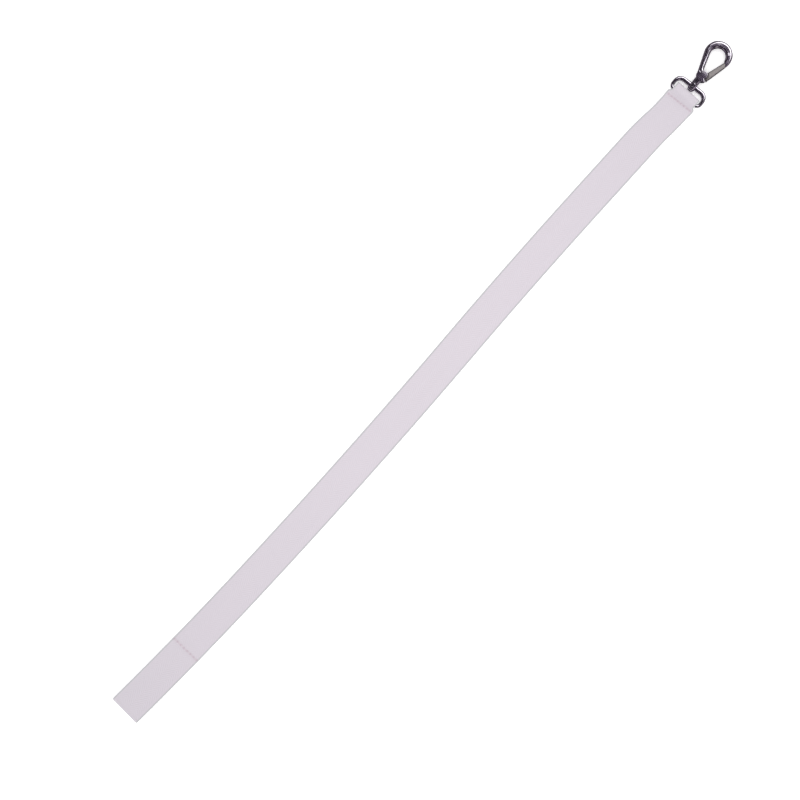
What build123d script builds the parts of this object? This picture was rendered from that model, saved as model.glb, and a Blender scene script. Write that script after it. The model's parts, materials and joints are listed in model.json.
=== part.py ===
from build123d import *
import os
from math import atan, cos, degrees, radians, sin, tan

# A short flat webbing training lead: a sewn hand loop at one end, a swivel snap hook at the other.
#
# Millimetres, +Z up. The lead lies flat on its underside, +X runs from the hand loop to the hook's tip
# and the origin is under the middle of its box. Everything is first placed from the loop's fold, at x = 0,
# and moved to the origin when it is written.

# Webbing
WEB_WIDTH = 25.0
WEB_THICK = 1.4
TAIL_STEP = 1.2  # how far short of a tail's end the webbing starts to come down off it
DROP_LENGTH = 7.0  # where it has come down
DROP_R = 6.0  # bends there, on top and underneath
SETTLE_R = 8.0
LIFT_R = 2.0

# The gentle sideways bow of the webbing: lengths and radii of its three arcs, the last turning back
BOW_ARCS = ((130.0, 2850.0, 1), (230.0, 5200.0, 1), (140.0, 4400.0, -1))
START_HEADING = -sum(turn * length / radius for length, radius, turn in BOW_ARCS)
LEAD_IN = 5.0  # how far the outline starts before the loop's fold
MIDDLE = 305.0  # where the two folded halves meet, and how far they run past each other
MIDDLE_OVERLAP = 5.0

# Hand loop, along the webbing from its fold
LOOP_INNER_R = 2.5
LOOP_PINCH = 60.0
LOOP_SEAM = 62.6
LOOP_TAIL = 71.5
LOOP_BLEND_R = 20.0

# Fold round the eye's bar, along X from the bar's axis
BAR_X = 601.2
POCKET_INNER_R = 1.75
POCKET_FRONT = 2.25
POCKET_BACK = -0.2
POCKET_PINCH = -4.0
POCKET_BLEND_R = 1.0
HOOK_SEAM = -5.3
HOOK_SEAM_SLANT = 3.7  # degrees
HOOK_TAIL = -14.3
SIDESTEP_ARCS = ((18.0, 216.0, -1), (18.0, 216.0, 1))  # a small sideways shift just behind the eye
SIDESTEP_X = BAR_X - 46.0
WAIST = (12.5, 12.35, 12.15, 12.0, 12.05)  # half widths along the two arcs, from the start every 9 mm
TAPER = ((-4.5, 12.3), (-3.2, 12.1), (-2.1, 10.35), (5.4, 10.35))  # half widths at the eye
FOLD_CORNER_R = 1.2

# Stitches
THREAD_R = 0.2
STITCHES = 7
LOOP_SEAM_HALF = 11.2  # half the length of each row
HOOK_SEAM_HALF = 9.9
THREAD_PROUD = 0.1  # how far a stitch stands out of the webbing
HOLE_R = 0.24  # from the middle of a needle hole to the thread beside it
LOCK_GAP = 0.05  # between the two threads and the face where the layers meet

# Swivel eye, along its own axis from the bar's axis
HARDWARE_YAW = 3.5  # degrees, the way the hook lies at rest
EYE_WIRE = 2.6
EYE_WIDTH = 27.6
EYE_FRONT = 11.5
EYE_TOP_BAR = 3.6
EYE_BAR_CORNER_R = 4.2
EYE_BAR_INNER_R = 1.35
EYE_TOP_CORNER_R = 6.2
BOSS_BACK = 7.2
BOSS_FRONT = 12.0
BOSS_R = 2.7
WIRE_FLAT = 0.08  # half of the flat left on the rounded wire
TURNED_EDGE = 0.5
SWIVEL_CLEARANCE = 0.05
SWIVEL_END_PLAY = 0.15

# Hook
NECK_R = 1.5
HEAD_R = 2.3
HEAD_LENGTH = 1.2
HEAD_EDGE = 0.8
STEM_R = 2.5
STEM_SHORT = 0.4  # how far the stem stops short of the slot
NECK_OVERLAP = 0.1
PIVOT = (20.5, -0.8)
KNUCKLE_R = 3.3
KNUCKLE_HALF = 2.9
KNUCKLE_EDGE = 0.6
ROOT_R = 4.6
ROOT_PROUD = 0.2  # how far the thick root stands clear of the thinner arm's outline
LIP_R = 5.3
BOWL = (38.75, -0.4)
BOWL_R = 10.35
BOWL_HALF = 2.3
BOWL_EDGE = 1.6
MOUTH_BACK = (26.0, -0.8)
MOUTH_BACK_R = 2.6
MOUTH_FRONT = (37.9, -0.6)
MOUTH_FRONT_R = 5.8
NOSE_CUT = (36.05, -8.7)
NOSE_CUT_ANGLE = 41.6  # degrees from the hook's axis
NOSE_CUT_AHEAD = 4.2  # how far the cut runs into the mouth, and out past the nose
NOSE_CUT_BEHIND = 8.0
GATE_SIDE_BACK = 12.0  # how far back the gate's side of the hook is cleared
GATE_SIDE_BEVEL = 4.0
SLOT_HALF = 1.55
SLOT_R = 3.25
ROOT_FROM, LIP_FROM, LIP_TO = 75.0, 188.0, 232.0  # degrees round the pivot
SLOT_OPEN_TO = 380.0

# Gate
GATE_HALF = 2.1
GATE_SHOULDER_R = 3.5
GATE_INNER_POINT = (26.0, -3.3)
GATE_INNER_ANGLE = -19.4  # degrees
GATE_OUTER_POINT = (34.6, -10.1)
GATE_OUTER_ANGLE = -15.0  # degrees
GATE_HEEL = 243.0  # degrees round the pivot
GATE_NOSE_GAP = 0.15
GATE_EDGE = 0.9
TONGUE_HALF = 1.45
TONGUE_R = 2.95
TONGUE_ROOT = 0.8  # how far the tongue runs on into the lever
SPRING_POCKET_R = 2.0
SPRING_POCKET_HALF = 0.86
SPRING_POCKET_DEPTH = 6.0
LEG_SLOT = (4.0, 0.6)

# Rivet and spring
RIVET_R = 1.0
RIVET_CLEARANCE = 0.06
RIVET_HEAD_R = 1.7
RIVET_HEAD = 0.25
RIVET_HEAD_EDGE = 0.22
SPRING_R = 1.5
SPRING_WIRE_R = 0.17
SPRING_TURNS = 3
SPRING_PITCH = 0.36
SPRING_GATE_LEG = 3.0
SPRING_BODY_LEG = 2.7
SPRING_LEG_ANGLE = -20.0  # degrees, the way the gate's leg points

BAR_Z = WEB_THICK + POCKET_INNER_R
LOOP_OUTER_R = LOOP_INNER_R + WEB_THICK
TALL = 30.0  # taller than anything here
NEARLY = 0.999


def follow(start, heading, arcs):
    """Arcs laid end to end, each a length, a radius and a turn: 1 to the left, -1 to the right."""
    path = []
    for length, radius, turn in arcs:
        arc = JernArc(start, (cos(heading), sin(heading)), radius, turn * degrees(length / radius))
        path.append(arc)
        start, heading = arc @ 1, heading + turn * length / radius
    return path


def middle_line():
    """The webbing's middle line in plan, from the loop's fold to just behind the eye."""
    bow = follow(Vector(0, 0), START_HEADING, BOW_ARCS)
    run = Line(bow[-1] @ 1, Vector(SIDESTEP_X, (bow[-1] @ 1).Y))
    return [*bow, run, *follow(run @ 1, 0, SIDESTEP_ARCS)]


BAR_Y = (middle_line()[-1] @ 1).Y
HARDWARE = Pos(BAR_X, BAR_Y, BAR_Z) * Rot(Z=HARDWARE_YAW)


def disc(centre, radius):
    return Pos(*centre) * Circle(radius)


def plate(sketch, half, edge):
    """A plate both sides of the middle plane with its edges rounded."""
    solid = extrude(sketch, amount=half, both=True)
    rims = [e for e in solid.edges() if abs(abs(e.center().Z) - half) < 1e-4]
    return fillet(rims, edge)


def polar(centre, radius, angle):
    return (centre[0] + radius * cos(radians(angle)), centre[1] + radius * sin(radians(angle)))


def sector(centre, radius, start, end):
    """A sector of a disc in steps that stay convex, from one angle to another in degrees."""
    steps = int((end - start) // 45) + 1
    rim = [polar(centre, radius / cos(radians((end - start) / steps / 2)), start + (end - start) * i / steps)
           for i in range(steps + 1)]
    return make_face(Polyline(centre, *rim, close=True)) & disc(centre, radius)


# ---------------------------------------------------------------- webbing


def web_plan():
    """The webbing's outline from above: full width along its bow, drawn in towards the eye."""
    *bow, run, first, second = middle_line()
    lead_in = Line((-LEAD_IN * cos(START_HEADING), -LEAD_IN * sin(START_HEADING)), (0, 0))
    body = trace(Curve() + [lead_in, *bow, run], WEB_WIDTH)
    centres = [first @ 0, first @ 0.5, second @ 0, second @ 0.5, second @ 1]
    stations = [(centre.X, centre.Y, half) for centre, half in zip(centres, WAIST)]
    stations += [(BAR_X + x, BAR_Y, half) for x, half in TAPER]
    right = [(x, y - half) for x, y, half in stations]
    left = [(x, y + half) for x, y, half in reversed(stations)]
    end = make_face(Polyline(*right, *left, close=True))
    corners = end.vertices().sort_by(Axis.X)[-2:]
    return body + fillet(corners, FOLD_CORNER_R)


def folded_profile(fold_x, inner_r, back_x, pinch_x, tail_x, end_x, blend_r):
    """A side view of the webbing folded back on itself, in x and z, with the fold towards +X.

    The inside of the fold is an arc about fold_x. The upper layer runs level to back_x and then slopes down
    to meet the lower layer at pinch_x. The tail lies underneath and ends at tail_x.
    """
    outer_r = inner_r + WEB_THICK
    mid_z = outer_r
    slope = 2 * atan(inner_r / (back_x - pinch_x))
    outer_foot = back_x - (mid_z + outer_r * cos(slope) - 2 * WEB_THICK) / tan(slope) - outer_r * sin(slope)
    bend = outer_r * tan(slope / 2)
    drop_x = tail_x - DROP_LENGTH
    tight, inner_tight = outer_r * NEARLY, inner_r * NEARLY
    outline = FilletPolyline(
        (end_x, 0), (drop_x, 0), (tail_x - TAIL_STEP, WEB_THICK), (tail_x, WEB_THICK), (tail_x, 0),
        (fold_x + outer_r, 0), (fold_x + outer_r, 2 * outer_r), (back_x - bend, 2 * outer_r),
        (outer_foot, 2 * WEB_THICK), (tail_x - TAIL_STEP, 2 * WEB_THICK), (drop_x, WEB_THICK),
        (end_x, WEB_THICK),
        radius=[0, SETTLE_R, LIFT_R, 0, 0, tight, tight, outer_r, blend_r, DROP_R, DROP_R, 0],
        close=True,
    )
    inner_bend = inner_r * tan(slope / 2)
    hollow = FilletPolyline(
        (pinch_x, WEB_THICK), (fold_x + inner_r, WEB_THICK), (fold_x + inner_r, 2 * inner_r + WEB_THICK),
        (back_x - inner_bend, 2 * inner_r + WEB_THICK),
        radius=[0, inner_tight, inner_tight, inner_r],
        close=True,
    )
    return make_face(outline) - make_face(hollow)


def across(profile):
    """A side view drawn in x and z, run right across the webbing's width."""
    return extrude(Plane.XZ * profile, amount=WEB_WIDTH, both=True)


def make_webbing():
    hook_half = across(folded_profile(
        POCKET_FRONT, POCKET_INNER_R, POCKET_BACK, POCKET_PINCH, HOOK_TAIL,
        MIDDLE - MIDDLE_OVERLAP - BAR_X, POCKET_BLEND_R))
    loop_half = across(folded_profile(
        -LOOP_OUTER_R, LOOP_INNER_R, -LOOP_OUTER_R, -LOOP_PINCH, -LOOP_TAIL,
        -MIDDLE - MIDDLE_OVERLAP, LOOP_BLEND_R))
    placed = Pos(BAR_X, BAR_Y) * hook_half + Rot(Z=degrees(START_HEADING)) * Rot(Z=180) * loop_half
    return placed & extrude(web_plan(), amount=TALL)


def thread(seam, half_length, bar_z, lock_z):
    """One thread of a seam along local Y: a bar at bar_z for each stitch, and down each hole to lock_z."""
    pitch = 2 * half_length / STITCHES
    path = []
    for i in range(STITCHES):
        start = -half_length + i * pitch + HOLE_R
        end = -half_length + (i + 1) * pitch - HOLE_R
        path += [(0, start, lock_z), (0, start, bar_z), (0, end, bar_z), (0, end, lock_z)]
    line = FilletPolyline(*path, radius=HOLE_R * NEARLY, close=False)
    section = Plane(origin=line @ 0, z_dir=line % 0) * Circle(THREAD_R)
    return seam * sweep(section, path=line)


def make_threads():
    bend = LOOP_SEAM / BOW_ARCS[0][1]
    loop_seam = Rot(Z=degrees(START_HEADING)) * Pos(LOOP_SEAM, LOOP_SEAM * bend / 2) * Rot(Z=degrees(bend))
    hook_seam = Pos(BAR_X + HOOK_SEAM, BAR_Y) * Rot(Z=HOOK_SEAM_SLANT)
    needle = (2 * WEB_THICK + THREAD_PROUD - THREAD_R, WEB_THICK + THREAD_R + LOCK_GAP)
    bobbin = (THREAD_R, WEB_THICK - THREAD_R - LOCK_GAP)
    return {
        "loop_seam_needle_thread": thread(loop_seam, LOOP_SEAM_HALF, *needle),
        "loop_seam_bobbin_thread": thread(loop_seam, LOOP_SEAM_HALF, *bobbin),
        "hook_seam_needle_thread": thread(hook_seam, HOOK_SEAM_HALF, *needle),
        "hook_seam_bobbin_thread": thread(hook_seam, HOOK_SEAM_HALF, *bobbin),
    }


# ---------------------------------------------------------------- swivel eye


def rounded_frame(back, front, half_width, back_r, front_r):
    corners = [(back, -half_width), (front, -half_width), (front, half_width), (back, half_width)]
    return make_face(FilletPolyline(*corners, radius=[back_r, front_r, front_r, back_r], close=True))


def make_eye():
    half = EYE_WIRE / 2
    outer = rounded_frame(-half, EYE_FRONT, EYE_WIDTH / 2, EYE_BAR_CORNER_R, EYE_TOP_CORNER_R)
    inner = rounded_frame(half, EYE_FRONT - EYE_TOP_BAR, EYE_WIDTH / 2 - EYE_WIRE,
                          EYE_BAR_INNER_R, EYE_TOP_CORNER_R - EYE_WIRE)
    frame = plate(outer - inner, half, half - WIRE_FLAT)
    boss = Plane.YZ.offset(BOSS_BACK) * extrude(Circle(BOSS_R), amount=BOSS_FRONT - BOSS_BACK)
    boss = fillet(boss.edges().filter_by(GeomType.CIRCLE), TURNED_EDGE)
    bore = Plane.YZ.offset(EYE_FRONT / 2) * extrude(Circle(NECK_R + SWIVEL_CLEARANCE), amount=TALL)
    return frame + boss - bore


# ---------------------------------------------------------------- hook


def half_plane(point, angle, side):
    """The plan region on one side of a line: side 1 is to the left of its direction, -1 to the right."""
    return Pos(*point) * Rot(Z=angle) * Pos(0, side * TALL) * Rectangle(4 * TALL, 2 * TALL)


def cut_side(gap, top=PIVOT[1]):
    """The plan region on the gate's side of the oblique cut through the nose, moved back by gap."""
    along = Vector(cos(radians(NOSE_CUT_ANGLE)), sin(radians(NOSE_CUT_ANGLE)))
    back = Vector(-along.Y, along.X)
    edge = Vector(*NOSE_CUT) + back * gap
    end, start = edge + along * NOSE_CUT_AHEAD, edge - along * NOSE_CUT_BEHIND
    back_edge = [(GATE_SIDE_BACK, start.Y), (GATE_SIDE_BACK, top)]
    return make_face(Polyline(end, start, *back_edge, (end.X - GATE_SIDE_BEVEL, top), close=True))


def stem_and_neck():
    """The turned parts on the swivel's axis: peened head, neck through the boss, stem."""
    head_front = BOSS_BACK - SWIVEL_END_PLAY
    stem_back = BOSS_FRONT + SWIVEL_END_PLAY
    stem_front = PIVOT[0] - SLOT_R - STEM_SHORT
    head = Plane.YZ.offset(head_front - HEAD_LENGTH) * extrude(Circle(HEAD_R), amount=HEAD_LENGTH)
    head = fillet(head.edges().sort_by(Axis.X)[0], HEAD_EDGE)
    neck_length = stem_back - head_front + 2 * NECK_OVERLAP
    neck = Plane.YZ.offset(head_front - NECK_OVERLAP) * extrude(Circle(NECK_R), amount=neck_length)
    stem = Plane.YZ.offset(stem_back) * extrude(Circle(STEM_R), amount=stem_front - stem_back)
    stem = fillet(stem.edges().sort_by(Axis.X)[0], TURNED_EDGE)
    return head + neck + stem


def make_hook():
    envelope = make_hull((disc(PIVOT, ROOT_R - ROOT_PROUD) + disc(BOWL, BOWL_R)).edges())
    mouth = make_hull((disc(MOUTH_BACK, MOUTH_BACK_R) + disc(MOUTH_FRONT, MOUTH_FRONT_R)).edges())
    gate_side = extrude(cut_side(0, PIVOT[1] + ROOT_PROUD), amount=TALL, both=True)
    arm_and_bowl = plate(envelope - mouth, BOWL_HALF, BOWL_EDGE) - gate_side
    root = sector(PIVOT, ROOT_R, ROOT_FROM, LIP_FROM)
    lip = sector(PIVOT, LIP_R, LIP_FROM, LIP_TO)
    knuckle = plate(root + disc(PIVOT, KNUCKLE_R) + lip, KNUCKLE_HALF, KNUCKLE_EDGE)
    slot_plan = disc(PIVOT, SLOT_R) + sector(PIVOT, 2 * SLOT_R, LIP_TO, SLOT_OPEN_TO)
    slot = extrude(slot_plan, amount=SLOT_HALF, both=True)
    rivet_hole = extrude(disc(PIVOT, RIVET_R), amount=TALL, both=True)
    return arm_and_bowl + knuckle + stem_and_neck() - slot - rivet_hole


def make_gate():
    inner_side = half_plane(GATE_INNER_POINT, GATE_INNER_ANGLE, -1)
    outer_side = half_plane(GATE_OUTER_POINT, GATE_OUTER_ANGLE, 1)
    plan = inner_side & outer_side & half_plane(PIVOT, GATE_HEEL, 1) & half_plane((BOWL[0], 0), -90, -1)
    lever = plate(plan - disc(PIVOT, GATE_SHOULDER_R), GATE_HALF, GATE_EDGE)
    lever &= extrude(cut_side(GATE_NOSE_GAP), amount=TALL, both=True)
    tongue_plan = disc(PIVOT, TONGUE_R) + (plan & disc(PIVOT, GATE_SHOULDER_R + TONGUE_ROOT))
    tongue = extrude(tongue_plan, amount=TONGUE_HALF, both=True)
    hole = extrude(disc(PIVOT, RIVET_R + RIVET_CLEARANCE), amount=TALL, both=True)
    return lever + tongue - spring_pocket() - hole


def spring_pocket():
    """The room between the tongue's two lugs: round the coil, open at the back, with a slot for one leg."""
    deep = SPRING_POCKET_DEPTH
    back = Pos(0, deep / 2) * Rectangle(2 * deep, deep)
    back += Pos(-deep / 2, SPRING_R) * Rectangle(deep, deep + SPRING_R)
    leg_slot = Pos(LEG_SLOT[0] / 2, -SPRING_R) * Rectangle(*LEG_SLOT)
    plan = disc(PIVOT, SPRING_POCKET_R) + Pos(*PIVOT) * Rot(Z=SPRING_LEG_ANGLE) * (back + leg_slot)
    return extrude(plan, amount=SPRING_POCKET_HALF, both=True)


def make_rivet():
    shaft = extrude(disc(PIVOT, RIVET_R), amount=KNUCKLE_HALF, both=True)
    head = Pos(*PIVOT, KNUCKLE_HALF) * extrude(Circle(RIVET_HEAD_R), amount=RIVET_HEAD)
    head = fillet(head.edges().sort_by(Axis.Z)[-1], RIVET_HEAD_EDGE)
    return shaft + head + mirror(head, Plane.XY)


def make_spring():
    """A close torsion coil round the rivet, with one leg into the gate and one against the knuckle."""
    height = SPRING_TURNS * SPRING_PITCH
    coil = Rot(Z=SPRING_LEG_ANGLE - 90) * Pos(0, 0, -height / 2) * Helix(SPRING_PITCH, height, SPRING_R)
    first = Line(coil @ 0 - (coil % 0) * SPRING_BODY_LEG, coil @ 0)
    last = Line(coil @ 1, coil @ 1 + (coil % 1) * SPRING_GATE_LEG)
    path = Wire([first, coil, last])
    section = Plane(origin=path @ 0, z_dir=path % 0) * Circle(SPRING_WIRE_R)
    return Pos(*PIVOT) * sweep(section, path=path, is_frenet=True)


def build():
    parts = {"webbing_strap": make_webbing(), **make_threads()}
    for name, make in (("swivel_eye", make_eye), ("hook_body", make_hook), ("gate", make_gate),
                       ("gate_rivet", make_rivet), ("gate_spring", make_spring)):
        parts[name] = HARDWARE * make()
    return parts


PARTS = build()
BOX = Compound(children=[Compound(part.solids()) for part in PARTS.values()]).bounding_box()
ORIGIN = ((BOX.min.X + BOX.max.X) / 2, (BOX.min.Y + BOX.max.Y) / 2, 0)

os.makedirs("parts", exist_ok=True)
for node, part in PARTS.items():
    export_step(Pos(-ORIGIN[0], -ORIGIN[1], 0) * part, f"parts/{node}.step")
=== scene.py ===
import json
import math
import bpy
import numpy as np
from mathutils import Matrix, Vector


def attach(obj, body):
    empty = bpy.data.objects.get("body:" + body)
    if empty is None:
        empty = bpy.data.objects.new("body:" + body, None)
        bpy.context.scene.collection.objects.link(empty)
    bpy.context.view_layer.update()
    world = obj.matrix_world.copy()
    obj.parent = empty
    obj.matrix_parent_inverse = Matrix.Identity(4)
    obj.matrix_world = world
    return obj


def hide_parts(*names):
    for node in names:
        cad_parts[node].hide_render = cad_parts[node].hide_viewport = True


# The looks of a short flat webbing training lead: a woven strap with a sewn hand loop at one end, and a
# plated swivel eye and snap hook at the other. Metres, in the CAD model's frame.

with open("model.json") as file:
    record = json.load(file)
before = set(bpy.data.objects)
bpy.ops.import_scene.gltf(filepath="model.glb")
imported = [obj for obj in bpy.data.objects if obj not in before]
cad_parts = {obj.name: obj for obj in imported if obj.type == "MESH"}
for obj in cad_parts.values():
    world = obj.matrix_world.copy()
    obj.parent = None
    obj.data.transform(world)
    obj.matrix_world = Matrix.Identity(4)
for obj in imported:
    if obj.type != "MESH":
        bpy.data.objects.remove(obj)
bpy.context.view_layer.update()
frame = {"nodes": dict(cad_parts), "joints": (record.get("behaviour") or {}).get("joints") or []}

JOINTS = {joint["name"]: joint for joint in frame["joints"]}
BAR = Vector(JOINTS["eye_swing"]["pos_m"])

# Webbing
WEB_WIDTH = 0.025
WEB_LAYER = 0.0014  # from one layer of the folded strap to the next
WEB_THICK = 0.0013
BOW_ARCS = ((0.130, 2.850, 1), (0.230, 5.200, 1), (0.140, 4.400, -1))
SIDESTEP_ARCS = ((0.018, 0.216, -1), (0.018, 0.216, 1))
SIDESTEP_FROM_BAR = 0.046
STRAIGHT = 1e6  # a radius as good as none
TINY = 1e-9
START_HEADING = -sum(turn * length / radius for length, radius, turn in BOW_ARCS)
BAR_X = 0.6012

# Folds, along the strap: from the loop's fold, and from the eye's bar
LOOP_INNER_R = 0.0025
LOOP_PINCH = 0.060
LOOP_SEAM = 0.0626
LOOP_TAIL = 0.0715
POCKET_INNER_R = 0.00175
POCKET_FRONT = 0.00225
POCKET_BACK = -0.0002
POCKET_PINCH = -0.0040
HOOK_SEAM = -0.0053
HOOK_SEAM_SLANT = math.radians(3.7)
HOOK_TAIL = -0.0143
TAIL_DROP = 0.007
TAIL_STEP = 0.001  # how far short of a tail's end the webbing starts to come down off it
TAIL_LIFT_R = 0.004
TAIL_SETTLE_R = 0.010
LOOP_BLEND_R = 0.030
POCKET_FOOT_R = 0.0016
POCKET_TOP_R = 0.0018
LOOP_ROUND = (0.999, 0.9)  # the radius of the loop's lower and upper corner, as a share of half its height
POCKET_ROUND = 0.99
TAPER = (  # half widths of the strap towards the eye, from the bar's axis
    (-0.046, 0.0125), (-0.037, 0.01235), (-0.028, 0.01215), (-0.019, 0.0120), (-0.010, 0.01205),
    (-0.0045, 0.0123), (-0.0032, 0.0121), (-0.0021, 0.01035), (0.0054, 0.01035),
)
ARC_STEP = math.radians(6)
FOLD_CORNER_R = 0.0012
LOOP_CORNER_R = 0.0007

# Weave
ROW_STEP = 0.00055  # three rows of the mesh to one pick of the weave
PICK = 0.00165
COLUMNS = 30
CHEVRON = 0.0025  # across the strap, how far one diagonal rib runs in one pick
BAND = WEB_WIDTH / 4  # the ribs turn back at each of these
PAINTED_LIGHT_MIDDLE, PAINTED_LIGHT_REACH = 0.42, 0.36  # along the webbing, where the painted pool of light on the strap is brightest and how far it reaches
RIB_RELIEF = 0.000035
SELVAGE_SCALLOP = 0.00005
SELVAGE_TURNS = (-60, -28, 0, 28, 60)  # degrees round the rounded edge
CUT_END = 0.55  # of the full thickness, at the very end of a tail
CUT_END_GAIN = 0.45  # and the rest of it, regained over this length
CUT_END_LENGTH = 0.0012

# Seams
STITCHES = 7
LOOP_SEAM_SPAN = 0.0112
HOOK_SEAM_SPAN = 0.0099
THREAD_R = 0.00022
PIT_SPREAD = 0.00055  # the pit at each needle hole
VALLEY_SPREAD = 0.0013  # the shallow valley round it
VALLEY_DEPTH = 0.12
DIP_DEPTH = 0.45  # how much of the webbing's thickness a full pit takes
FIRST_LAYER_TO = 0.0009  # the middle line's height, up to here always on the first layer,
SECOND_LAYER_TO = 0.0025  # and up to here on the second one, if it runs level
LEVEL = 0.9  # it counts as level where this much of its way is along
STITCH_DIVE = 0.00085  # how deep the thread goes at each hole
STITCH_STEPS = 34
PLY_TURN = 0.0011  # the length of thread in which one ply goes round
PLY_DEPTH = 0.20
THREAD_SIDES = 12
PLIES = 3
NEEDLE_SINK, BOBBIN_SINK = 0.15, 1.0  # how far into the webbing a thread's middle lies, in thread radii
STITCH_SHARPNESS = 6


# ---------------------------------------------------------------- the strap's place


def travel(line, u):
    """The place and heading u metres along a line of arcs from (0, 0), and straight on past its end."""
    place, heading = Vector((0.0, 0.0)), START_HEADING
    for length, radius, turn in line:
        go = min(u, length)
        bend = turn * go / radius
        chord = 2 * radius * math.sin(go / radius / 2)
        place = place + chord * Vector((math.cos(heading + bend / 2), math.sin(heading + bend / 2)))
        heading += bend
        u -= go
        if u <= 0:
            return place, heading
    return place + u * Vector((math.cos(heading), math.sin(heading))), heading


BOW_LENGTH = sum(arc[0] for arc in BOW_ARCS)
RUN = BAR_X - SIDESTEP_FROM_BAR - travel(BOW_ARCS, BOW_LENGTH)[0].x
LINE = (*BOW_ARCS, (RUN, STRAIGHT, 1), *SIDESTEP_ARCS)
LINE_LENGTH = sum(arc[0] for arc in LINE)
BAR_U = LINE_LENGTH + BAR_X - travel(LINE, LINE_LENGTH)[0].x
ORIGIN = travel(LINE, BAR_U)[0] - BAR.xy


def walk(u):
    """The place and heading u metres along the lead from its loop's fold, with the fold at (0, 0)."""
    return travel(LINE, u)


def spot(u, across, z):
    """A point of the strap in the row frame: u along it, across to its left, z above the floor."""
    place, heading = walk(u)
    left = Vector((-math.sin(heading), math.cos(heading)))
    flat = place - ORIGIN + across * left
    return Vector((flat.x, flat.y, z))


def rounded(corners, step=ARC_STEP):
    """A polyline through corners of (u, z, radius), each rounded with an arc of its radius."""
    path = [Vector(corners[0][:2])]
    for before, here, after in zip(corners, corners[1:], corners[2:]):
        corner = Vector(here[:2])
        back = (Vector(before[:2]) - corner).normalized()
        ahead = (Vector(after[:2]) - corner).normalized()
        turn = math.pi - back.angle(ahead)
        reach = here[2] * math.tan(turn / 2)
        centre = corner + (back + ahead).normalized() * here[2] / math.cos(turn / 2)
        start, end = corner + back * reach - centre, corner + ahead * reach - centre
        count = max(2, math.ceil(turn / step))
        for i in range(count + 1):
            t = i / count
            path.append(centre + here[2] * start.slerp(end, t))
    path.append(Vector(corners[-1][:2]))
    return np.array([tuple(p) for p in path])


def side_path():
    """The strap's middle line from the side: loop tail, loop, length, pocket round the bar, hook tail."""
    low, second = WEB_LAYER / 2, WEB_LAYER * 1.5
    loop_r, pocket_r = LOOP_INNER_R + low, POCKET_INNER_R + low
    loop_x, pocket_x = LOOP_INNER_R + WEB_LAYER - loop_r, BAR_U + POCKET_FRONT + pocket_r
    loop_top, pocket_top = low + 2 * loop_r, low + 2 * pocket_r
    return rounded([
        (LOOP_TAIL, low, 0),
        (loop_x, low, loop_r * LOOP_ROUND[0]), (loop_x, loop_top, loop_r * LOOP_ROUND[1]),
        (LOOP_PINCH, second, LOOP_BLEND_R),
        (LOOP_TAIL - TAIL_STEP, second, TAIL_LIFT_R), (LOOP_TAIL + TAIL_DROP, low, TAIL_SETTLE_R),
        (BAR_U + HOOK_TAIL - TAIL_DROP, low, TAIL_SETTLE_R),
        (BAR_U + HOOK_TAIL + TAIL_STEP, second, TAIL_LIFT_R),
        (BAR_U + POCKET_PINCH, second, POCKET_FOOT_R), (BAR_U + POCKET_BACK, pocket_top, POCKET_TOP_R),
        (pocket_x, pocket_top, pocket_r * POCKET_ROUND), (pocket_x, low, pocket_r * POCKET_ROUND),
        (BAR_U + HOOK_TAIL, low, 0),
    ])


def resample(path, step):
    """Points step apart along a polyline, with the way they face and their distance along it."""
    legs = np.hypot(*np.diff(path, axis=0).T)
    keep = np.concatenate([[True], legs > TINY])
    path = path[keep]
    along = np.concatenate([[0.0], np.cumsum(np.hypot(*np.diff(path, axis=0).T))])
    count = round(along[-1] / step)
    s = np.linspace(0.0, along[-1], count + 1)
    points = np.column_stack([np.interp(s, along, path[:, 0]), np.interp(s, along, path[:, 1])])
    ways = np.gradient(points, s, axis=0)
    ways /= np.hypot(*ways.T)[:, None]
    return s, points, ways


def half_width(u):
    """Half of the strap's width at u: full, drawn in towards the eye, and rounded at its folds' corners."""
    from_bar = u - BAR_U
    half = np.interp(from_bar, [x for x, _ in TAPER], [w for _, w in TAPER])
    for end, radius in ((TAPER[-1][0] - from_bar, FOLD_CORNER_R), (u, LOOP_CORNER_R)):
        short = np.clip(radius - end, 0, radius)
        half = half - (radius - math.sqrt(max(radius ** 2 - short ** 2, 0)))
    return half


SEAMS = {  # place along the strap, half length, slant
    "loop": (LOOP_SEAM, LOOP_SEAM_SPAN, 0.0),
    "hook": (BAR_U + HOOK_SEAM, HOOK_SEAM_SPAN, HOOK_SEAM_SLANT),
}


def stitch_holes():
    """Where the needle went through both layers: (u, across) of every hole of both seams."""
    holes = []
    for seam_u, span, slant in SEAMS.values():
        for i in range(STITCHES + 1):
            across = -span + 2 * span * i / STITCHES
            holes.append((seam_u - across * math.sin(slant), across * math.cos(slant)))
    return holes


# ---------------------------------------------------------------- meshes


def mesh_object(name, verts, faces, body):
    mesh = bpy.data.meshes.new(name)
    mesh.from_pydata([tuple(v) for v in verts], [], faces)
    mesh.polygons.foreach_set("use_smooth", [True] * len(mesh.polygons))
    mesh.update()
    obj = bpy.data.objects.new(name, mesh)
    bpy.context.scene.collection.objects.link(obj)
    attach(obj, body)
    return obj


def section():
    """The strap's cross-section as (across, up), each from -1 to 1, round from one selvage to the other."""
    edge_turns = [math.radians(a) for a in SELVAGE_TURNS]
    reach = 1 - 2 * WEB_THICK / WEB_WIDTH
    flat = [reach * (1 - 2 * i / COLUMNS) for i in range(COLUMNS + 1)]
    edge = [(reach + (1 - reach) * math.cos(a), math.sin(a)) for a in edge_turns]
    top = [(y, 1.0) for y in flat]
    left = [(-y, z) for y, z in reversed(edge)]
    bottom = [(-y, -1.0) for y in flat]
    return top + left + bottom + edge


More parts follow.
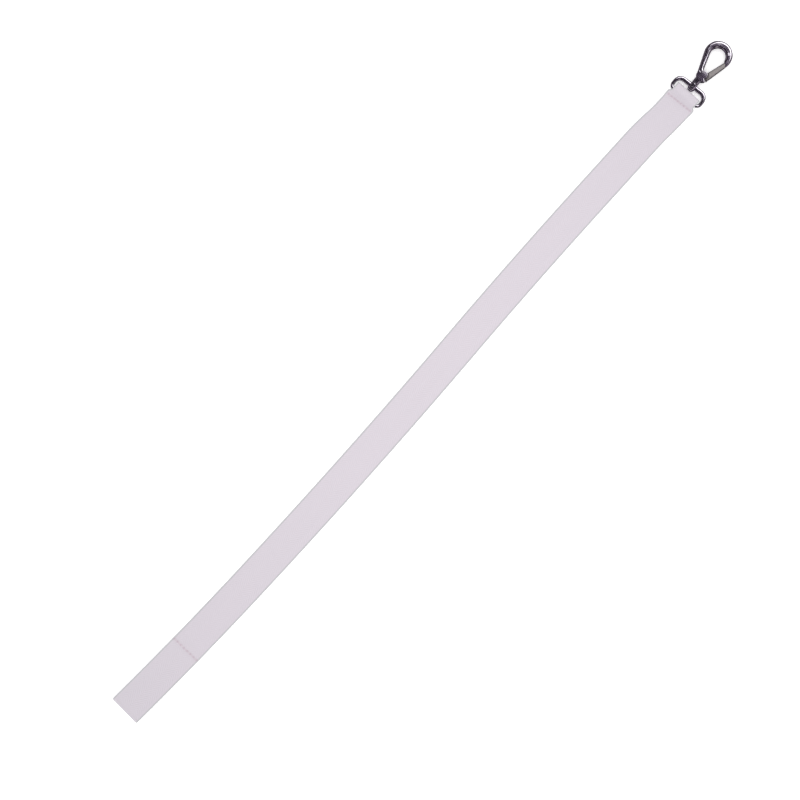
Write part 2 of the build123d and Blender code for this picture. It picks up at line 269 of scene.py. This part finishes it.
def seam_dips(u, across, holes):
    """How far the stitches draw the surface down: a pit at each hole and a shallow valley between."""
    dip = np.zeros_like(across)
    for hole_u, hole_across in holes:
        apart = (u - hole_u) ** 2 + (across - hole_across) ** 2
        dip = np.maximum(dip, np.exp(-apart / (2 * PIT_SPREAD ** 2)))
        dip = np.maximum(dip, VALLEY_DEPTH * np.exp(-apart / (2 * VALLEY_SPREAD ** 2)))
    return dip


def make_strap():
    s, points, ways = resample(side_path(), ROW_STEP)
    ring = np.array(section())
    holes = stitch_holes()
    verts, weave, pucker_shade = [], [], []
    total = s[-1]
    for here, (u, z), (du, dz) in zip(s.tolist(), points.tolist(), ways.tolist()):
        half = half_width(u)
        half += SELVAGE_SCALLOP * math.cos(2 * math.pi * here / PICK)
        across = ring[:, 0] * half
        from_end = min(here, total - here)
        closing = CUT_END + CUT_END_GAIN * min(1.0, from_end / CUT_END_LENGTH)
        chevron = np.abs((across / BAND) % 2 - 1) * BAND
        ribs = np.cos(2 * np.pi * (here / PICK + chevron / CHEVRON))
        up = ring[:, 1] * (WEB_THICK / 2 + RIB_RELIEF * ribs * (np.abs(ring[:, 1]) > 0.99)) * closing
        on_seam = z < FIRST_LAYER_TO or z < SECOND_LAYER_TO and abs(du) > LEVEL
        dips = seam_dips(u, across, holes) if on_seam else np.zeros_like(across)
        outward = 1.0 if z > WEB_LAYER else -1.0
        outer = ring[:, 1] * (outward if du > 0 else -outward) > 0.5
        dips = np.where(outer, dips, 0)
        up = up * (1 - DIP_DEPTH * dips)
        place, heading = walk(u)
        left = np.array((-math.sin(heading), math.cos(heading)))
        forward = np.array((math.cos(heading), math.sin(heading)))
        base = np.array(place - ORIGIN)
        flat = base + across[:, None] * left - (up * dz)[:, None] * forward
        height = z + up * du
        verts.append(np.column_stack([flat, height]))
        # the mask for the painted shade of the rounded edges: near 1 along both selvages and across the
        # loop's fold, carried as the weave attribute's third value
        edge = np.maximum(np.abs(across) / half, 1 - u / (WEB_WIDTH / 2))
        weave.append(np.column_stack([np.full(len(ring), here), across, edge]))
        pucker_shade.append(dips)
    verts, weave, pucker_shade = np.vstack(verts), np.vstack(weave), np.concatenate(pucker_shade)
    rows, n = len(s), len(ring)
    faces = [(r * n + i, r * n + (i + 1) % n, (r + 1) * n + (i + 1) % n, (r + 1) * n + i)
             for r in range(rows - 1) for i in range(n)]
    faces.append(tuple(reversed(range(n))))
    faces.append(tuple((rows - 1) * n + i for i in range(n)))
    strap = mesh_object("woven_strap", verts, faces, "lead")
    attribute = strap.data.attributes.new("weave", "FLOAT_VECTOR", "POINT")
    attribute.data.foreach_set("vector", weave.astype(np.float32).ravel())
    # the pucker at each needle hole, kept for the material's painted shade there
    attribute = strap.data.attributes.new("pucker_shade", "FLOAT", "POINT")
    attribute.data.foreach_set("value", pucker_shade.astype(np.float32))
    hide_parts("webbing_strap")
    return strap


def make_stitches(name, node, seam_u, span, slant, side):
    """One three-ply thread of a seam: it shows as a low arch over each stitch and dives at each hole."""
    pitch, n = 2 * span / STITCHES, THREAD_SIDES
    surface, sink = (2 * WEB_LAYER, NEEDLE_SINK) if side > 0 else (0.0, BOBBIN_SINK)
    verts, centres = [], []
    for i in range(STITCHES * STITCH_STEPS + 1):
        t = i / STITCH_STEPS
        depth = STITCH_DIVE * abs(math.cos(math.pi * t)) ** STITCH_SHARPNESS
        rise = surface - side * (depth + THREAD_R * sink)
        across = -span + pitch * t
        centres.append(spot(seam_u - across * math.sin(slant), across * math.cos(slant), rise))
    _, heading = walk(seam_u)
    forward = Vector((math.cos(heading + slant), math.sin(heading + slant), 0))
    for i, centre in enumerate(centres):
        way = (centres[min(i + 1, len(centres) - 1)] - centres[max(i - 1, 0)]).normalized()
        normal = forward.cross(way).normalized()
        twist = 2 * math.pi * i / STITCH_STEPS * pitch / PLY_TURN
        for k in range(n):
            a = 2 * math.pi * k / n
            ply = 1 - PLY_DEPTH + PLY_DEPTH * abs(math.cos(PLIES / 2 * (a - twist / PLIES)))
            verts.append(centre + THREAD_R * ply * (math.cos(a) * normal + math.sin(a) * forward))
    faces = [(r * n + k, (r + 1) * n + k, (r + 1) * n + (k + 1) % n, r * n + (k + 1) % n)
             for r in range(len(centres) - 1) for k in range(n)]
    faces.append(tuple(range(n)))
    faces.append(tuple(reversed([(len(centres) - 1) * n + k for k in range(n)])))
    stitches = mesh_object(name, verts, faces, "lead")
    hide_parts(node)
    return stitches


# ---------------------------------------------------------------- materials


class Nodes:
    """A short way to write a node material: add nodes, link them, and set the shader's constants."""

    def __init__(self, name):
        self.material = bpy.data.materials.new(name)
        self.material.use_nodes = True
        self.tree = self.material.node_tree
        self.shader = self.tree.nodes["Principled BSDF"]

    def add(self, kind, settings=None, **inputs):
        node = self.tree.nodes.new("ShaderNode" + kind)
        for key, value in (settings or {}).items():
            setattr(node, key, value)
        for key, value in inputs.items():
            self.put(node.inputs[int(key[1:]) if key[0] == "i" and key[1:].isdigit() else key], value)
        return node

    def put(self, socket, value):
        if isinstance(value, bpy.types.NodeSocket):
            self.tree.links.new(value, socket)
        else:
            socket.default_value = value

    def math(self, operation, a, b=0.0, c=0.0):
        return self.add("Math", {"operation": operation}, i0=a, i1=b, i2=c).outputs[0]

    def noise(self, where, scale, detail=3.0):
        return self.add("TexNoise", Vector=where, Scale=scale, Detail=detail).outputs["Fac"]

    def spread(self, value, low, high):
        """value from 0 to 1 as a number from low to high."""
        return self.add("MapRange", Value=value, **{"To Min": low, "To Max": high}).outputs["Result"]

    def mix(self, factor, a, b, blend="MIX"):
        node = self.add("Mix", {"data_type": "RGBA", "blend_type": blend})
        self.put(node.inputs[0], factor)
        self.put(node.inputs[6], a)
        self.put(node.inputs[7], b)
        return node.outputs[2]

    def bump(self, height, distance, strength=1.0, normal=None):
        node = self.add("Bump", Height=height, Distance=distance, Strength=strength)
        if normal is not None:
            self.put(node.inputs["Normal"], normal)
        return node.outputs["Normal"]

    def finish(self, **sockets):
        for key, value in sockets.items():
            self.put(self.shader.inputs[key.replace("_", " ")], value)
        return self.material


def webbing_material():
    m = Nodes("woven_polyester")
    weave = m.add("Attribute", {"attribute_name": "weave"}).outputs["Vector"]
    pucker_shade = m.add("Attribute", {"attribute_name": "pucker_shade"}).outputs["Fac"]
    split = m.add("SeparateXYZ", Vector=weave)
    along, across, edge = split.outputs[0], split.outputs[1], split.outputs[2]
    # the diagonal ribs of the chevrons, in step with the mesh's own
    folded = m.math("PINGPONG", across, BAND)
    turns = m.math("ADD", m.math("DIVIDE", along, PICK), m.math("DIVIDE", folded, -CHEVRON))
    rib = m.math("COSINE", m.math("MULTIPLY", turns, 2 * math.pi))
    warp = m.math("COSINE", m.math("MULTIPLY", across, 2 * math.pi / (CHEVRON / 3)))
    cell = m.math("MULTIPLY_ADD", rib, 0.5, m.math("MULTIPLY", warp, 0.3))
    # fine filaments running along the warp
    stretch = m.add("Mapping", Vector=weave, Scale=(900.0, 9000.0, 0.0)).outputs[0]
    fibres = m.noise(stretch, 1.0, 2.0)
    height = m.math("ADD", m.math("MULTIPLY", cell, 0.6), m.math("MULTIPLY", fibres, 0.35))
    # colour: painted shade darkening the valleys of the weave, streaks from yarn to yarn, a slow drift along
    # the strap
    streaks = m.noise(m.add("Mapping", Vector=weave, Scale=(14.0, 1300.0, 0.0)).outputs[0], 1.0, 2.0)
    drift = m.noise(m.add("Mapping", Vector=weave, Scale=(9.0, 60.0, 0.0)).outputs[0], 1.0, 1.0)
    tone = m.mix(m.spread(drift, -0.1, 1.1), (0.580, 0.551, 0.597, 1), (0.610, 0.567, 0.620, 1))
    # a painted pool of light: the strap is painted paler over the middle of its length and darker towards
    # both ends
    from_painted_light_middle = m.math("DIVIDE", m.math("SUBTRACT", along, PAINTED_LIGHT_MIDDLE), PAINTED_LIGHT_REACH)
    middle = m.math("MULTIPLY_ADD", m.math("MULTIPLY", from_painted_light_middle, from_painted_light_middle), -1.0, 1.0)
    middle = m.add("Clamp", Value=middle).outputs[0]
    tone = m.mix(middle, tone, (0.685, 0.635, 0.69, 1))
    tone = m.mix(m.spread(streaks, 0.0, 0.22), tone, (0.54, 0.495, 0.542, 1))
    # painted shade: the weave's valleys are painted darker where the ribs dip
    painted_valley_shade = m.math("MULTIPLY_ADD", cell, -0.12, 0.10)
    tone = m.mix(painted_valley_shade, tone, (0.42, 0.37, 0.42, 1))
    # grey along both selvages and across the loop's fold: partly a slightly darker selvage, mostly painted
    # shade of the rounded edges
    selvage_and_edge_shade = m.add("MapRange", {"interpolation_type": "SMOOTHSTEP"}, Value=edge,
                **{"From Min": 0.89, "From Max": 0.93, "To Min": 0.0, "To Max": 0.8}).outputs["Result"]
    tone = m.mix(selvage_and_edge_shade, tone, (0.47, 0.475, 0.485, 1))
    # painted shade: the webbing is painted darker and pinker in the pits round each needle hole
    tone = m.mix(m.math("MULTIPLY", pucker_shade, 0.6), tone, (0.44, 0.31, 0.37, 1))
    rough = m.spread(fibres, 0.72, 0.92)
    normal = m.bump(height, 0.00012, 0.65)
    return m.finish(Base_Color=tone, Roughness=rough, Normal=normal, Sheen_Weight=0.18, Sheen_Roughness=0.45,
                    Specular_IOR_Level=0.25)


def thread_material():
    m = Nodes("sewing_thread")
    place = m.add("TexCoord").outputs["Object"]
    fluff = m.noise(place, 5200.0, 3.0)
    tone = m.mix(m.spread(fluff, 0.0, 1.0), (0.58, 0.49, 0.54, 1), (0.67, 0.58, 0.62, 1))
    return m.finish(Base_Color=tone, Roughness=m.spread(fluff, 0.5, 0.75),
                    Normal=m.bump(fluff, 0.00004, 0.5), Sheen_Weight=0.15, Specular_IOR_Level=0.35)


def plating_material():
    """Bright plating over a zinc casting: soft waves from the casting, fine scratches and dull specks."""
    m = Nodes("bright_plating")
    place = m.add("TexCoord").outputs["Object"]
    waves = m.noise(place, 110.0, 1.0)
    orange_peel = m.noise(place, 900.0, 2.0)
    scratched = m.add("Mapping", Vector=place, Rotation=(0, 0, 0.7), Scale=(300.0, 5200.0, 900.0)).outputs[0]
    scratches = m.noise(scratched, 1.0, 4.0)
    specks = m.noise(place, 2400.0, 3.0)
    tone = m.mix(m.spread(waves, 0.0, 1.0), (0.50, 0.46, 0.54, 1), (0.62, 0.60, 0.62, 1))
    tone = m.mix(m.spread(specks, 0.0, 0.18), tone, (0.30, 0.27, 0.30, 1))
    rough = m.math("ADD", m.spread(scratches, 0.03, 0.13), m.spread(specks, 0.0, 0.05))
    normal = m.bump(orange_peel, 0.00001, 0.3, m.bump(waves, 0.0006, 0.4))
    return m.finish(Base_Color=tone, Metallic=1.0, Roughness=rough, Normal=normal,
                    Specular_Tint=(0.40, 0.32, 0.46, 1))


def brushed_material(name, dark, light, rough_low, rough_high, grain):
    """Satin metal with a fine grain, from dark to light and from rough_low to rough_high."""
    m = Nodes(name)
    place = m.add("TexCoord").outputs["Object"]
    brushed = m.add("Mapping", Vector=place, Rotation=(0, 0, 0.24), Scale=grain).outputs[0]
    grains = m.noise(brushed, 1.0, 4.0)
    patches = m.noise(place, 320.0, 3.0)
    tone = m.mix(m.spread(grains, -0.2, 1.2), dark, light)
    tone = m.mix(m.spread(patches, 0.0, 0.3), tone, dark)
    rough = m.math("ADD", m.spread(grains, rough_low, rough_high), m.spread(patches, -0.04, 0.04))
    return m.finish(Base_Color=tone, Metallic=1.0, Roughness=rough, Normal=m.bump(grains, 0.00003, 0.5))


def floor_material():
    m = Nodes("pale_floor")
    place = m.add("TexCoord").outputs["Object"]
    tone = m.mix(m.noise(place, 3.0), (0.90, 0.90, 0.90, 1), (0.92, 0.92, 0.92, 1))
    return m.finish(Base_Color=tone, Roughness=0.9, Specular_IOR_Level=0.1, Emission_Color=(1, 1, 1, 1),
                    Emission_Strength=FLOOR_GLOW)


def dress(obj, material):
    obj.data.materials.clear()
    obj.data.materials.append(material)


# ---------------------------------------------------------------- studio

FLOOR_REACH = 6.0
FLOOR_GAP = 0.00005
FLOOR_GLOW = 0.4  # the floor is a pale sheet lit a little from below
TENT = 1.07  # the world's light on everything but polished metal
CLUTTER_SCALE, CLUTTER_DETAIL = 2.6, 2.0
CLUTTER_RANGE = (0.50, 0.64, 0.6, 5.0)  # the noise between two values, and how bright the room is there
ROOM = (  # what polished metal sees, from the horizon up
    (0.0, (0.08, 0.06, 0.09, 1)), (0.14, (0.20, 0.18, 0.20, 1)), (0.40, (0.08, 0.07, 0.08, 1)),
    (0.80, (0.02, 0.014, 0.025, 1)),
)
CAMERA_TURN = math.radians(47.8)  # the lead's direction in the picture, up from its horizontal
CAMERA_OVER = (-0.0242, 0.00587)
CAMERA_HEIGHT = 1.611
CAMERA_LENS, CAMERA_SENSOR = 100.0, 36.0


def make_floor():
    mesh = bpy.data.meshes.new("floor")
    r = FLOOR_REACH
    mesh.from_pydata([(-r, -r, 0), (r, -r, 0), (r, r, 0), (-r, r, 0)], [], [(0, 1, 2, 3)])
    floor = bpy.data.objects.new("floor", mesh)
    floor.location.z = -FLOOR_GAP
    bpy.context.scene.collection.objects.link(floor)
    dress(floor, floor_material())
    floor.visible_glossy = False


def softbox(name, azimuth, elevation, distance, size, radiance, tint=(1, 1, 1)):
    """An area light facing the middle of the lead. Azimuth is from the camera's right, anticlockwise."""
    a, e = math.radians(azimuth) - CAMERA_TURN, math.radians(elevation)
    way = Vector((math.cos(a) * math.cos(e), math.sin(a) * math.cos(e), math.sin(e)))
    data = bpy.data.lights.new(name, "AREA")
    data.shape, (data.size, data.size_y) = "RECTANGLE", size
    data.energy, data.color = radiance * math.pi * size[0] * size[1], tint
    light = bpy.data.objects.new(name, data)
    light.location = way * distance
    light.rotation_mode = "QUATERNION"
    light.rotation_quaternion = way.to_track_quat("Z", "Y")
    bpy.context.scene.collection.objects.link(light)
    return light


def make_world():
    """A pale tent of light round the lead, which polished metal sees as a dim room."""
    world = bpy.data.worlds.new("studio")
    world.use_nodes = True
    tree = world.node_tree
    tent = tree.nodes["Background"]
    tent.inputs["Color"].default_value = (1.0, 1.0, 1.0, 1)
    tent.inputs["Strength"].default_value = TENT
    room = tree.nodes.new("ShaderNodeBackground")
    path = tree.nodes.new("ShaderNodeLightPath")
    mix = tree.nodes.new("ShaderNodeMixShader")
    place = tree.nodes.new("ShaderNodeTexCoord")
    height = tree.nodes.new("ShaderNodeSeparateXYZ")
    ramp = tree.nodes.new("ShaderNodeValToRGB")
    stops = ramp.color_ramp.elements
    for i, (position, colour) in enumerate(ROOM):
        stop = stops[i] if i < len(stops) else stops.new(position)
        stop.position, stop.color = position, colour
    clutter = tree.nodes.new("ShaderNodeTexNoise")
    clutter.inputs["Scale"].default_value = CLUTTER_SCALE
    clutter.inputs["Detail"].default_value = CLUTTER_DETAIL
    panels = tree.nodes.new("ShaderNodeMapRange")
    for key, value in zip(("From Min", "From Max", "To Min", "To Max"), CLUTTER_RANGE):
        panels.inputs[key].default_value = value
    tree.links.new(place.outputs["Generated"], height.inputs[0])
    tree.links.new(place.outputs["Generated"], clutter.inputs["Vector"])
    tree.links.new(clutter.outputs["Fac"], panels.inputs["Value"])
    tree.links.new(height.outputs["Z"], ramp.inputs["Fac"])
    tree.links.new(ramp.outputs["Color"], room.inputs["Color"])
    tree.links.new(panels.outputs["Result"], room.inputs["Strength"])
    tree.links.new(path.outputs["Is Glossy Ray"], mix.inputs[0])
    tree.links.new(tent.outputs[0], mix.inputs[1])
    tree.links.new(room.outputs[0], mix.inputs[2])
    tree.links.new(mix.outputs[0], tree.nodes["World Output"].inputs["Surface"])
    bpy.context.scene.world = world


def make_camera():
    data = bpy.data.cameras.new("camera")
    data.lens, data.sensor_width = CAMERA_LENS, CAMERA_SENSOR
    camera = bpy.data.objects.new("camera", data)
    camera.location = (*CAMERA_OVER, CAMERA_HEIGHT)
    camera.rotation_euler = (0, 0, -CAMERA_TURN)
    bpy.context.scene.collection.objects.link(camera)
    bpy.context.scene.camera = camera


def make_lights():
    key = softbox("softbox_key", 48, 46, 1.6, (1.1, 1.1), 3.3)
    key.visible_diffuse = False
    top = softbox("softbox_top", 60, 62, 1.8, (1.2, 0.9), 0.9)
    top.visible_glossy = False
    softbox("softbox_side", -60, 38, 1.8, (0.5, 0.9), 0.9, (1.0, 0.96, 0.92))
    softbox("strip_left", 165, 30, 1.8, (0.25, 0.9), 0.5, (0.90, 0.86, 1.0))


def make_seams():
    material = thread_material()
    for end, (seam_u, span, slant) in SEAMS.items():
        for kind, side in (("needle", 1), ("bobbin", -1)):
            node = f"{end}_seam_{kind}_thread"
            dress(make_stitches(f"{end}_{kind}_stitches", node, seam_u, span, slant, side), material)


make_camera()
make_world()
make_lights()
make_floor()
dress(make_strap(), webbing_material())
make_seams()

plating = plating_material()
for node in ("swivel_eye", "hook_body", "gate_rivet"):
    dress(frame["nodes"][node], plating)
dress(frame["nodes"]["gate"], brushed_material(
    "satin_nickel", (0.22, 0.205, 0.20, 1), (0.38, 0.355, 0.35, 1), 0.34, 0.50, (260.0, 6000.0, 2500.0)))
dress(frame["nodes"]["gate_spring"], brushed_material(
    "spring_steel", (0.34, 0.34, 0.35, 1), (0.55, 0.55, 0.56, 1), 0.2, 0.34, (4000.0, 4000.0, 900.0)))

scene = bpy.context.scene
scene.view_settings.view_transform = "Standard"
scene.view_settings.look = "None"
